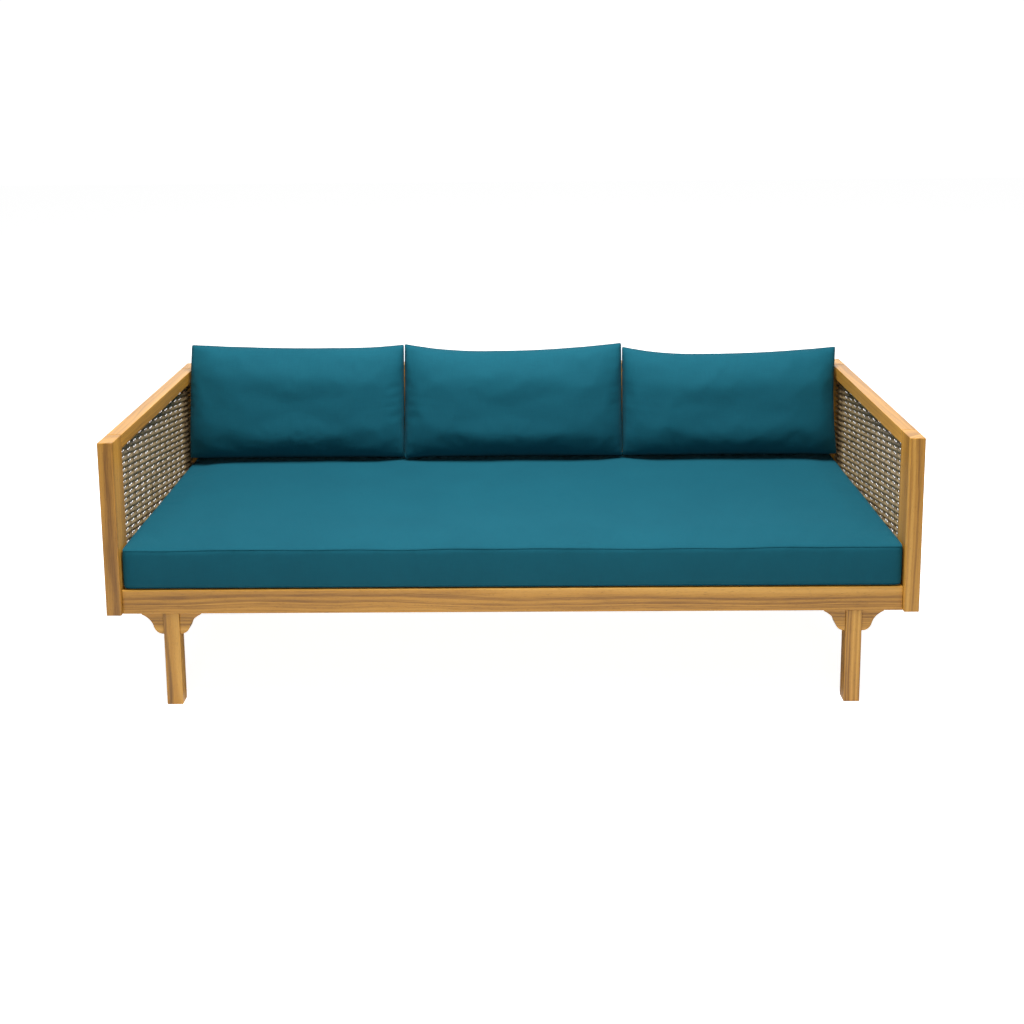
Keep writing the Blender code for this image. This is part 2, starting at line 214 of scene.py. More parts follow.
def opaque(colour):
    """A colour with full alpha."""
    return (*colour, 1.0)


# ---------------------------------------------------------------- timber


def timber_group():
    """Figure of a plank whose grain runs along X: rings round a heart, fibres, pores and streaks."""
    found = bpy.data.node_groups.get("timber_figure")
    if found:
        return found
    colour = "NodeSocketColor"
    graph = Graph.group(
        "timber_figure",
        "ShaderNodeTree",
        (
            ("Vector", "NodeSocketVector"),
            ("Light", colour),
            ("Middle", colour),
            ("Dark", colour),
            ("Streak", colour),
        ),
        (
            ("Color", colour),
            ("Roughness", "NodeSocketFloat"),
            ("Height", "NodeSocketFloat"),
        ),
    )
    place = graph.source["Vector"]
    slow = graph.vector("MULTIPLY", place, (1.1, 7.0, 7.0))
    drift = graph.add(
        "ShaderNodeTexNoise", {"Vector": slow, "Scale": 1.0, "Detail": 3.0}
    ).outputs[1]
    drift = graph.vector("SUBTRACT", drift, (0.5, 0.5, 0.5))
    drift = graph.vector("MULTIPLY", drift, (0.0, 0.030, 0.030))
    bent = graph.split(graph.vector("ADD", place, drift))
    away = graph.join(0.0, bent["Y"], bent["Z"])
    radius = graph.add(
        "ShaderNodeVectorMath", {0: away}, operation="LENGTH"
    ).outputs["Value"]

    def rings(frequency, detail, shift):
        value = graph.math("MULTIPLY_ADD", radius, frequency, shift)
        made = graph.add(
            "ShaderNodeTexNoise",
            {"W": value, "Scale": 1.0, "Detail": detail, "Roughness": 0.55},
            noise_dimensions="1D",
        )
        return made.outputs[0]

    growth = graph.spread(rings(150.0, 2.5, 3.0), 0.30, 0.72)
    bands = graph.spread(rings(34.0, 1.0, 11.0), 0.30, 0.70)
    fibre_at = graph.vector("MULTIPLY", place, (16.0, 620.0, 620.0))
    fibre = graph.noise(fibre_at, 1.0, 3.0, 0.6)
    cloud = graph.noise(graph.vector("MULTIPLY", place, (2.2, 13.0, 13.0)), 1.0, 2.0)
    tone = graph.math("MULTIPLY", growth, 0.46)
    tone = graph.math("MULTIPLY_ADD", bands, 0.28, tone)
    tone = graph.math("MULTIPLY_ADD", graph.spread(fibre, 0.3, 0.7), 0.24, tone)
    tone = graph.math("MULTIPLY_ADD", graph.spread(cloud, 0.3, 0.7), 0.20, tone)
    low = graph.spread(tone, 0.18, 0.55)
    high = graph.spread(tone, 0.55, 0.98)
    shade = graph.blend(low, graph.source["Dark"], graph.source["Middle"])
    shade = graph.blend(high, shade, graph.source["Light"])
    streak = graph.spread(rings(62.0, 3.0, 27.0), 0.64, 0.74, 0.0, 0.75)
    along = graph.noise(graph.vector("MULTIPLY", place, (1.6, 4.0, 4.0)), 1.0, 1.0)
    streak = graph.math("MULTIPLY", streak, graph.spread(along, 0.42, 0.62))
    shade = graph.blend(streak, shade, graph.source["Streak"])
    pore_at = graph.vector("MULTIPLY", place, (95.0, 1500.0, 1500.0))
    pore = graph.spread(graph.noise(pore_at, 1.0, 1.0), 0.66, 0.74)
    shade = graph.blend(
        graph.math("MULTIPLY", pore, 0.55), shade, graph.source["Streak"]
    )
    graph.feed(graph.result["Color"], shade)
    rough = graph.math("MULTIPLY_ADD", fibre, 0.18, 0.22)
    graph.feed(graph.result["Roughness"], rough)
    height = graph.math("MULTIPLY_ADD", growth, 0.35, fibre)
    height = graph.math("MULTIPLY_ADD", pore, -0.9, height)
    graph.feed(graph.result["Height"], height)
    return graph.tree


def timber(name, grain, heart, colours, relief):
    """Oiled timber for one board. grain is X, Y or Z; heart is a point on the tree's middle line."""
    material, graph, shader = new_material(name)
    place = graph.add("ShaderNodeTexCoord").outputs["Object"]
    x, y, z = graph.split(graph.vector("SUBTRACT", place, heart))
    turned = {"X": (x, y, z), "Y": (y, x, z), "Z": (z, x, y)}[grain]
    figure = graph.add("ShaderNodeGroup", node_tree=timber_group())
    graph.feed(figure.inputs["Vector"], graph.join(*turned))
    for label, colour in zip(("Light", "Middle", "Dark", "Streak"), colours):
        figure.inputs[label].default_value = opaque(colour)
    bump = graph.add(
        "ShaderNodeBump",
        {"Strength": 0.35, "Distance": relief, "Height": figure.outputs["Height"]},
    )
    graph.feed(shader.inputs["Base Color"], figure.outputs["Color"])
    graph.feed(shader.inputs["Roughness"], figure.outputs["Roughness"])
    graph.feed(shader.inputs["Normal"], bump.outputs["Normal"])
    shader.inputs["Specular IOR Level"].default_value = 0.42
    return material


def heart_of(node, grain, number):
    """A point some way off the board for its growth rings to circle, different for each board."""
    low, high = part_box(node)
    middle = (Vector(low) + Vector(high)) / 2
    turn = 0.9 + 2.399963 * number
    reach = 0.075 + 0.055 * ((number * 0.618034) % 1.0)
    across = [a for a in range(3) if a != "XYZ".index(grain)]
    middle[across[0]] += reach * math.cos(turn)
    middle[across[1]] += reach * math.sin(turn)
    middle["XYZ".index(grain)] += 1.37 * (number % 17) + 0.4
    return tuple(middle)


def longest_axis(node):
    """X, Y or Z, whichever way the board runs."""
    low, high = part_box(node)
    size = [b - a for a, b in zip(low, high)]
    return "XYZ"[size.index(max(size))]


# ---------------------------------------------------------------- other finishes


def steel(name):
    """Plain bolt and screw steel with fine turning marks."""
    material, graph, shader = new_material(name)
    place = graph.add("ShaderNodeTexCoord").outputs["Object"]
    marks = graph.noise(graph.vector("MULTIPLY", place, (900.0, 2600.0, 2600.0)))
    shader.inputs["Metallic"].default_value = 1.0
    tint = graph.blend(marks, opaque((0.44, 0.43, 0.41)), opaque((0.66, 0.65, 0.62)))
    graph.feed(shader.inputs["Base Color"], tint)
    graph.feed(shader.inputs["Roughness"], graph.spread(marks, 0.3, 0.7, 0.26, 0.46))
    bump = graph.add("ShaderNodeBump", {"Strength": 0.2, "Distance": 0.0001})
    graph.feed(bump.inputs["Height"], marks)
    graph.feed(shader.inputs["Normal"], bump.outputs["Normal"])
    return material


def strand(name, light, dark):
    """Ridged woven strand: its tone changes from strand to strand and along each one, with a painted
    highlight where it stands proud and painted shade in its grooves.
    """
    material, graph, shader = new_material(name)
    place = graph.add("ShaderNodeTexCoord").outputs["Object"]
    own = graph.add("ShaderNodeAttribute", attribute_name="strand_tone").outputs["Fac"]
    rise = graph.add("ShaderNodeAttribute", attribute_name="strand_rise").outputs["Fac"]
    round_it = graph.add("ShaderNodeAttribute", attribute_name="round_strand")
    around = round_it.outputs["Fac"]
    patch = graph.spread(graph.noise(place, 55.0, 3.0, 0.6), 0.32, 0.68)
    # Painted highlight: strands are painted lighter where they stand proud of the panel.
    painted_highlight = graph.math("POWER", rise, 3.0)
    tone = graph.math("MULTIPLY_ADD", own, 0.25, graph.math("MULTIPLY", patch, 0.25))
    tone = graph.math("MULTIPLY_ADD", painted_highlight, 0.5, tone)
    ridge = graph.math("SINE", graph.math("MULTIPLY", around, 2 * math.pi * 9))
    # Painted shade: the colour is darkened along the grooves between the ridges of a strand.
    groove = graph.spread(ridge, -1.0, -0.2)
    colour = graph.blend(tone, opaque(dark), opaque(light))
    shaded = graph.blend(0.55, colour, opaque(dark), "MULTIPLY")
    colour = graph.blend(graph.math("MULTIPLY_ADD", groove, 0.6, 0.4), shaded, colour)
    graph.feed(shader.inputs["Base Color"], colour)
    graph.feed(shader.inputs["Roughness"], graph.spread(patch, 0.0, 1.0, 0.24, 0.40))
    bump = graph.add("ShaderNodeBump", {"Strength": 0.4, "Distance": 0.0003})
    graph.feed(bump.inputs["Height"], ridge)
    graph.feed(shader.inputs["Normal"], bump.outputs["Normal"])
    shader.inputs["Specular IOR Level"].default_value = 0.6
    return material


def cloth(name, base, deep, thread):
    """Plain-weave cover cloth on the map called weave, which is in metres."""
    material, graph, shader = new_material(name)
    flat = graph.add("ShaderNodeUVMap", uv_map="weave").outputs["UV"]
    place = graph.add("ShaderNodeTexCoord").outputs["Object"]
    u, v, _ = graph.split(flat)
    turns = math.pi / thread
    warp = graph.math("SINE", graph.math("MULTIPLY", u, turns))
    weft = graph.math("SINE", graph.math("MULTIPLY", v, turns))
    check = graph.math("MULTIPLY", warp, weft)
    slub_u = graph.noise(graph.vector("MULTIPLY", flat, (420.0, 26.0, 1.0)), 1.0, 2.0)
    slub_v = graph.noise(graph.vector("MULTIPLY", flat, (26.0, 420.0, 1.0)), 1.0, 2.0)
    slub = graph.math("ADD", slub_u, slub_v)
    wash = graph.noise(place, 5.0, 3.0)
    tone = graph.spread(slub, 0.70, 1.30, 0.0, 0.6)
    tone = graph.math("MULTIPLY_ADD", graph.spread(wash, 0.3, 0.7), 0.4, tone)
    colour = graph.blend(tone, opaque(deep), opaque(base))
    # Painted shade: the hollows between the threads are darkened in the colour.
    thread_hollow_shade = graph.spread(check, -1.0, 0.6)
    hollow_shade_colour = graph.blend(0.22, colour, opaque((0.0, 0.0, 0.0)))
    colour = graph.blend(thread_hollow_shade, hollow_shade_colour, colour)
    graph.feed(shader.inputs["Base Color"], colour)
    height = graph.math("MULTIPLY_ADD", slub, 0.8, check)
    bump = graph.add("ShaderNodeBump", {"Strength": 0.45, "Distance": 0.00025})
    graph.feed(bump.inputs["Height"], height)
    graph.feed(shader.inputs["Normal"], bump.outputs["Normal"])
    shader.inputs["Roughness"].default_value = 0.82
    shader.inputs["Specular IOR Level"].default_value = 0.12
    shader.inputs["Sheen Weight"].default_value = 0.045
    shader.inputs["Sheen Roughness"].default_value = 0.45
    shader.inputs["Sheen Tint"].default_value = (0.45, 0.80, 0.95, 1.0)
    return material


# ---------------------------------------------------------------- making pieces


def add_piece(name, mesh, material=None):
    """Links a finished mesh as an object at the origin."""
    piece = bpy.data.objects.new(name, mesh)
    bpy.context.scene.collection.objects.link(piece)
    if material:
        mesh.materials.clear()
        mesh.materials.append(material)
    return piece


def run_graph(name, mesh, graph, values, place=None):
    """Runs a geometry node tree on a mesh and returns the result as a plain mesh.

    values maps the tree's input names to numbers, vectors or materials.
    """
    carrier = add_piece(f"{name}_carrier", mesh)
    modifier = carrier.modifiers.new("pattern", "NODES")
    modifier.node_group = graph.tree
    for item in graph.tree.interface.items_tree:
        if item.item_type == "SOCKET" and item.name in values:
            modifier[item.identifier] = values[item.name]
    depsgraph = bpy.context.evaluated_depsgraph_get()
    made = bpy.data.meshes.new_from_object(
        carrier.evaluated_get(depsgraph),
        preserve_all_data_layers=True,
        depsgraph=depsgraph,
    )
    made.name = name
    bpy.data.objects.remove(carrier, do_unlink=True)
    if place:
        made.transform(place)
    return made


def empty_mesh(name, points=()):
    """A mesh of loose points, or of nothing."""
    mesh = bpy.data.meshes.new(name)
    mesh.from_pydata([tuple(p) for p in points], [], [])
    return mesh


# ---------------------------------------------------------------- woven panels


def weave_graph():
    """Upright stakes with rows of strand that pass in front of and behind them by turns."""
    number = "NodeSocketFloat"
    graph = Graph.group(
        "woven_panel",
        "GeometryNodeTree",
        (
            ("Length", number),
            ("Height", number),
            ("Stake Spacing", number),
            ("First Stake", number),
            ("Stake Count", "NodeSocketInt"),
            ("Stake Radius", number),
            ("Row Pitch", number),
            ("Row Count", "NodeSocketInt"),
            ("Strand Radius", number),
            ("Strand Flatness", number),
            ("Bow", number),
            ("Material", "NodeSocketMaterial"),
        ),
        (("Geometry", "NodeSocketGeometry"),),
    )
    size = graph.source
    half = graph.math("MULTIPLY", size["Length"], 0.5)
    rows_high = graph.math(
        "MULTIPLY", size["Row Pitch"], graph.math("SUBTRACT", size["Row Count"], 1.0)
    )
    first_row = graph.math("MULTIPLY", rows_high, -0.5)
    rows = graph.add(
        "GeometryNodeMeshLine",
        {
            "Count": size["Row Count"],
            "Start Location": graph.join(0.0, 0.0, first_row),
            "Offset": graph.join(0.0, 0.0, size["Row Pitch"]),
        },
        mode="OFFSET",
    ).outputs["Mesh"]
    line = graph.add(
        "GeometryNodeCurvePrimitiveLine",
        {
            "Start": graph.join(graph.math("MULTIPLY", half, -1.0)),
            "End": graph.join(half),
        },
    ).outputs["Curve"]
    steps = graph.math("DIVIDE", size["Length"], size["Stake Spacing"])
    line = graph.add(
        "GeometryNodeResampleCurve",
        {"Curve": line, "Count": graph.math("MULTIPLY", steps, 8.0)},
        mode="COUNT",
    ).outputs["Curve"]
    laid = graph.add(
        "GeometryNodeInstanceOnPoints", {"Points": rows, "Instance": line}
    ).outputs["Instances"]
    laid = graph.add("GeometryNodeRealizeInstances", {"Geometry": laid}).outputs[0]
    x, _, z = graph.split(graph.add("GeometryNodeInputPosition").outputs[0])
    row = graph.math("DIVIDE", graph.math("SUBTRACT", z, first_row), size["Row Pitch"])
    row = graph.math("ROUND", row)
    side = graph.math("MULTIPLY_ADD", graph.math("FLOORED_MODULO", row, 2.0), 2.0, -1.0)
    turn = graph.math("SUBTRACT", x, size["First Stake"])
    turn = graph.math("DIVIDE", turn, size["Stake Spacing"])
    wave = graph.math("COSINE", graph.math("MULTIPLY", turn, math.pi))
    # A taut strand bends mostly where it passes a stake.
    full = graph.math("POWER", graph.math("ABSOLUTE", wave), 2.0)
    wave = graph.math("MULTIPLY", wave, graph.math("MULTIPLY_ADD", full, 0.4, 0.6))
    out = graph.math("MULTIPLY", graph.math("MULTIPLY", wave, side), size["Bow"])
    at = graph.vector("MULTIPLY", graph.join(x, row, z), (23.0, 7.3, 3.0))
    jitter = graph.add(
        "ShaderNodeTexNoise", {"Vector": at, "Scale": 1.0, "Detail": 2.0}
    ).outputs[1]
    jitter = graph.vector("SUBTRACT", jitter, (0.5, 0.5, 0.5))
    jitter = graph.vector("MULTIPLY", jitter, (0.0, 0.0022, 0.0026))
    moved = graph.vector("ADD", graph.join(0.0, out, 0.0), jitter)
    laid = graph.add("GeometryNodeSetPosition", {"Geometry": laid, "Offset": moved})
    laid = graph.store(laid.outputs[0], "strand_rise", graph.math("ABSOLUTE", wave))
    tone = graph.add("ShaderNodeTexWhiteNoise", {"W": row}, noise_dimensions="1D")
    laid = graph.store(laid, "strand_tone", tone.outputs["Value"])

    def tube(curves, radius, sides, thick=1.0):
        curves = graph.add(
            "GeometryNodeSetCurveNormal", {"Curve": curves}, mode="Z_UP"
        ).outputs["Curve"]
        profile = graph.add(
            "GeometryNodeCurvePrimitiveCircle",
            {"Resolution": sides, "Radius": radius},
        ).outputs["Curve"]
        profile = graph.add(
            "GeometryNodeTransform",
            {"Geometry": profile, "Scale": graph.join(thick, 1.0, 1.0)},
        ).outputs[0]
        factor = graph.add("GeometryNodeSplineParameter").outputs["Factor"]
        profile = graph.store(profile, "round_strand", factor)
        return graph.add(
            "GeometryNodeCurveToMesh",
            {"Curve": curves, "Profile Curve": profile, "Fill Caps": True},
        ).outputs["Mesh"]

    strands = tube(laid, size["Strand Radius"], 8, size["Strand Flatness"])
    half_high = graph.math("MULTIPLY", size["Height"], 0.5)
    stake = graph.add(
        "GeometryNodeCurvePrimitiveLine",
        {
            "Start": graph.join(0.0, 0.0, graph.math("MULTIPLY", half_high, -1.0)),
            "End": graph.join(0.0, 0.0, half_high),
        },
    ).outputs["Curve"]
    feet = graph.add(
        "GeometryNodeMeshLine",
        {
            "Count": size["Stake Count"],
            "Start Location": graph.join(size["First Stake"]),
            "Offset": graph.join(size["Stake Spacing"]),
        },
        mode="OFFSET",
    ).outputs["Mesh"]
    stakes = graph.add(
        "GeometryNodeInstanceOnPoints", {"Points": feet, "Instance": stake}
    ).outputs["Instances"]
    stakes = graph.add("GeometryNodeRealizeInstances", {"Geometry": stakes}).outputs[0]
    stakes = tube(stakes, size["Stake Radius"], 10)
    both = graph.add("GeometryNodeJoinGeometry")
    graph.feed(both.inputs[0], strands)
    graph.feed(both.inputs[0], stakes)
    smooth = graph.add("GeometryNodeSetShadeSmooth", {"Geometry": both.outputs[0]})
    return graph.close(smooth.outputs[0])


def woven_panel(node, graph, settings, material):
    """Replaces one woven slab with real strands."""
    low, high = (Vector(c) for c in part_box(node))
    size = high - low
    middle = (low + high) / 2
    along_y = size.y > size.x
    length = size.y if along_y else size.x
    spacing = settings.stake_spacing
    if along_y:
        first = settings.first_stake - length / 2
        count = int((length - settings.first_stake) / spacing) + 1
        turn = Matrix.Rotation(math.pi / 2, 4, "Z")
    else:
        count = int((length - 0.012) / spacing) + 1
        first = -spacing * (count - 1) / 2
        turn = Matrix.Identity(4)
    # Rows close up to both rails, so the pitch gives a little.
    rise = size.z - 2 * settings.strand_radius - WEAVE_ROOM
    rows = round(rise / settings.row_pitch) + 1
    values = {
        "Length": length - WEAVE_ROOM,
        "Height": size.z - WEAVE_ROOM,
        "Stake Spacing": spacing,
        "First Stake": first,
        "Stake Count": count,
        "Stake Radius": settings.stake_radius,
        "Row Pitch": rise / (rows - 1),
        "Row Count": rows,
        "Strand Radius": settings.strand_radius,
        "Strand Flatness": settings.strand_flatness,
        "Bow": settings.bow,
        "Material": material,
    }
    place = Matrix.Translation(middle) @ turn
    name = f"{node}_strands"
    mesh = run_graph(name, empty_mesh(name), graph, values, place)
    piece = add_piece(name, mesh)
    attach(piece, "frame")
    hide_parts(node)
    return piece


# ---------------------------------------------------------------- cushions


def panel_shell(name, counts, panels, place, chart, same=tuple):
    """A closed cover over a box lattice, and its points' places in the lattice (-1 to 1).

    counts are the lattice's cells along X, Y and Z. panels lists (axis, end, number): the sides to
    cover, and which panel of cloth each belongs to. place turns a lattice place into metres, chart
    a lattice point into the cloth's own flat coordinates, and same gives two points one key where
    they are to be one.
    """
    bm = bmesh.new()
    uv = bm.loops.layers.uv.new("weave")
    known = {}
    units = []

    def corner(point):
        key = same(point)
        if key not in known:
            unit = tuple(2.0 * p / c - 1.0 for p, c in zip(key, counts))
            known[key] = bm.verts.new(place(unit))
            units.append(unit)
        return known[key]

    for axis, end, number in panels:
        first, second = [a for a in range(3) if a != axis]
        for i in range(counts[first]):
            for j in range(counts[second]):
                quad = []
                for di, dj in ((0, 0), (1, 0), (1, 1), (0, 1)):
                    point = [0, 0, 0]
                    point[axis] = counts[axis] if end > 0 else 0
                    point[first] = i + di
                    point[second] = j + dj
                    quad.append(tuple(point))
                if (end > 0) == (axis == 1):
                    quad.reverse()
                face = bm.faces.new([corner(p) for p in quad])
                face.material_index = number
                for loop, point in zip(face.loops, quad):
                    loop[uv].uv = chart(axis, point)
    bmesh.ops.recalc_face_normals(bm, faces=bm.faces)
    mesh = bpy.data.meshes.new(name)
    bm.to_mesh(mesh)
    bm.free()
    for _ in {p[2] for p in panels}:
        mesh.materials.append(None)
    return mesh, np.array(units)


def points_of(mesh):
    """A mesh's points as rows of an array."""
    points = np.empty(len(mesh.vertices) * 3)
    mesh.vertices.foreach_get("co", points)
    return points.reshape(-1, 3)


def move_points(mesh, points):
    """Puts an array's rows back as a mesh's points."""
    mesh.vertices.foreach_set("co", np.asarray(points, dtype=float).ravel())
    mesh.update()


def swell(piece, pressure, reach, growth, stiffness, share=1.0):
    """Fills a closed cover by cloth simulation, held at its seams.

    growth is how much larger the cloth is cut than the space it covers, and share how much of the
    movement is kept; no point moves further than reach.
    """
    scene = bpy.context.scene
    start = points_of(piece.data)
    fabric = piece.modifiers.new("filling", "CLOTH")
    rules = fabric.settings
    rules.quality = 6
    rules.mass = 0.3
    rules.tension_stiffness = stiffness
    rules.compression_stiffness = stiffness
    rules.shear_stiffness = stiffness / 2
    rules.bending_stiffness = 0.6
    rules.use_pressure = True
    rules.uniform_pressure_force = pressure
    rules.effector_weights.gravity = 0.0
    rules.vertex_group_mass = hold_seams(piece)
    rules.pin_stiffness = 1.0
    rules.shrink_min = -growth
    fabric.point_cache.frame_start = 1
    fabric.point_cache.frame_end = 20
    for number in range(1, 21):
        scene.frame_set(number)
    depsgraph = bpy.context.evaluated_depsgraph_get()
    filled = points_of(piece.evaluated_get(depsgraph).data)
    piece.modifiers.remove(fabric)
    scene.frame_set(1)
    step = filled - start
    length = np.linalg.norm(step, axis=1, keepdims=True)
    step *= np.minimum(share, reach / np.maximum(length, 1e-9))
    move_points(piece.data, start + step)


def subdivide(piece):
    """One level of smooth subdivision, applied."""
    modifier = piece.modifiers.new("smooth", "SUBSURF")
    modifier.levels = 1
    modifier.render_levels = 1
    modifier.uv_smooth = "NONE"
    depsgraph = bpy.context.evaluated_depsgraph_get()
    made = bpy.data.meshes.new_from_object(
        piece.evaluated_get(depsgraph), preserve_all_data_layers=True, depsgraph=depsgraph
    )
    piece.modifiers.remove(modifier)
    old = piece.data
    piece.data = made
    bpy.data.meshes.remove(old)
    made.name = piece.name


def seam_edges(mesh):
    """Pairs of points along each edge where two panels of cloth meet."""
    bm = bmesh.new()
    bm.from_mesh(mesh)
    pairs = [
        (e.verts[0].index, e.verts[1].index)
        for e in bm.edges
        if len(e.link_faces) == 2
        and e.link_faces[0].material_index != e.link_faces[1].material_index
    ]
    bm.free()
    return pairs


def welt_graph():
    """A thin round welt along every line of a mesh."""
    graph = Graph.group(
        "seam_welt",
        "GeometryNodeTree",
        (
            ("Geometry", "NodeSocketGeometry"),
            ("Welt Radius", "NodeSocketFloat"),
            ("Material", "NodeSocketMaterial"),
        ),
        (("Geometry", "NodeSocketGeometry"),),
    )
    line = graph.add("GeometryNodeMeshToCurve", {"Mesh": graph.source["Geometry"]})
    ring = graph.add(
        "GeometryNodeCurvePrimitiveCircle",
        {"Resolution": 6, "Radius": graph.source["Welt Radius"]},
    )
    tube = graph.add(
        "GeometryNodeCurveToMesh",
        {"Curve": line.outputs[0], "Profile Curve": ring.outputs["Curve"]},
    )
    smooth = graph.add("GeometryNodeSetShadeSmooth", {"Geometry": tube.outputs[0]})
    return graph.close(smooth.outputs[0])


def sew_welt(cushion, graph, radius, material, body):
    """The narrow ridge that a closed seam stands up as, along all of a cushion's seams."""
    pairs = seam_edges(cushion.data)
    used = sorted({i for pair in pairs for i in pair})
    order = {old: new for new, old in enumerate(used)}
    mesh = bpy.data.meshes.new("seam_line")
    mesh.from_pydata(
        [tuple(cushion.data.vertices[i].co) for i in used],
        [(order[a], order[b]) for a, b in pairs],
        [],
    )
    values = {"Welt Radius": radius, "Material": material}
    name = f"{cushion.name}_welt"
    made = run_graph(name, mesh, graph, values)
    flat = made.uv_layers.new(name="weave")
    for loop in made.loops:
        point = made.vertices[loop.vertex_index].co
        flat.data[loop.index].uv = (point.x + point.y, point.z)
    piece = add_piece(name, made)
    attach(piece, body)
    return piece


def finish_cushion(piece, node, material, fill):
    """One material all over, and its place in the frame."""
    mesh = piece.data
    mesh.materials.clear()
    mesh.materials.append(material)
    mesh.polygons.foreach_set("material_index", [0] * len(mesh.polygons))
    mesh.polygons.foreach_set("use_smooth", [True] * len(mesh.polygons))
    mesh.update()
    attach(piece, node)
    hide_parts(node)


def seat_cover(settings):
    """The long seat cushion's cover before it is filled: a box with eased corners."""
    low, high = (Vector(c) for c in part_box("seat_cushion"))
    deck = low.z
    edge = deck + settings.seat_height
    half = Vector(((high.x - low.x) / 2, (high.y - low.y) / 2))
    middle_y = (low.y + high.y) / 2
    cell = settings.seat_cell
    counts = (
        2 * round(half.x / cell),
        2 * round(half.y / cell),
        max(4, round(settings.seat_height / cell)),
    )
    round_corner = settings.seat_corner

    def place(unit):
        x = unit[0] * half.x
        y = unit[1] * half.y
        # The plan's four corners are rounded.
        reach_x = abs(x) - (half.x - round_corner)
        reach_y = abs(y) - (half.y - round_corner)
        if reach_x > 0 and reach_y > 0:
            scale = max(reach_x, reach_y) / math.hypot(reach_x, reach_y)
            x = math.copysign(half.x - round_corner + reach_x * scale, x)
            y = math.copysign(half.y - round_corner + reach_y * scale, y)
        z = deck + (edge - deck) * (unit[2] + 1) / 2
        rim = max(abs(unit[0]), abs(unit[1]))
        if unit[2] >= 1:
            dome = (1 - abs(unit[0]) ** 5) * (1 - abs(unit[1]) ** 4)
            z += settings.seat_dome * dome
        elif unit[2] <= -1 and rim >= 1:
            z += settings.seat_lift
        return (x, middle_y + y, z)

    def chart(axis, point):
        x, y, z = (p * cell for p in point)
        return {0: (y, z), 1: (x, z), 2: (x, y)}[axis]

    panels = [(2, 1, 0), (2, -1, 2)]
    panels += [(0, 1, 1), (0, -1, 1), (1, 1, 1), (1, -1, 1)]
    return panel_shell("seat_cushion_cover", counts, panels, place, chart)


def hold_seams(piece):
    """A vertex group that holds the seams still while the cover fills."""
    group = piece.vertex_groups.new(name="held")
    seams = {i for pair in seam_edges(piece.data) for i in pair}
    group.add(sorted(seams), 1.0, "REPLACE")
    return group.name


def make_seat_cushion(settings):
    """Fills the seat cushion's cover, settles it on the deck and trims it to its bay."""
    low, high = (Vector(c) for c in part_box("seat_cushion"))
    mesh, _ = seat_cover(settings)
    piece = add_piece("seat_cushion_cover", mesh)
    swell(piece, settings.seat_pressure, 0.009, 0.002, settings.seat_stiffness)
    points = points_of(piece.data)
    # Small waves left by sewing and use.
    x, y, z = points.T
    ripple = 0.0011 * np.sin(9.0 * x + 1.3) + 0.0008 * np.sin(23.0 * x + 4.0 * y)
    ripple += 0.0007 * np.sin(17.0 * y - 5.0 * x + 0.7)
    top = z > low.z + settings.seat_height - 0.004
    points[:, 2] += np.where(top, ripple, 0.0)
    edge = (y < low.y + 0.02) & top
    points[:, 1] += np.where(edge, 0.0010 * np.sin(31.0 * x + 0.4), 0.0)
    points[:, 0] = np.clip(points[:, 0], low.x - 0.0010, high.x + 0.0010)
    points[:, 1] = np.clip(points[:, 1], low.y - 0.006, high.y + 0.003)
    points[:, 2] = np.maximum(points[:, 2], low.z)
    move_points(piece.data, points)
    subdivide(piece)
    points = points_of(piece.data)
    points[:, 2] = np.maximum(points[:, 2], low.z)
    move_points(piece.data, points)
    return piece


# Where each back cushion's seam runs, in metres: its left and right edges at the bottom, middle and
# top, its top edge's height at the left, at its lowest point and at the right, where that lowest
# point is (-1 to 1), and how far the two lower corners stand forward.
BACK_SEAMS = {
    "back_cushion_1": (
        (-0.9615, -0.9595, -0.9545),
        (-0.3232, -0.3242, -0.3231),
        (0.7630, 0.7519, 0.7600, 0.45),
        (0.0, 0.0),
    ),
    "back_cushion_2": (
        (-0.3193, -0.3183, -0.3192),
        (0.3243, 0.3233, 0.3242),
        (0.7620, 0.7403, 0.7610, -0.25),
        (0.016, 0.0),
    ),
    "back_cushion_3": (
        (0.3281, 0.3291, 0.3282),
        (0.9615, 0.9530, 0.9600),
        (0.7494, 0.7273, 0.7453, -0.30),
        (0.0, 0.0),
    ),
}


def through(low, middle, high, share):
    """A smooth curve through three values at -1, 0 and 1."""
    bend = (low + high) / 2 - middle
    return middle + (high - low) / 2 * share + bend * share * share


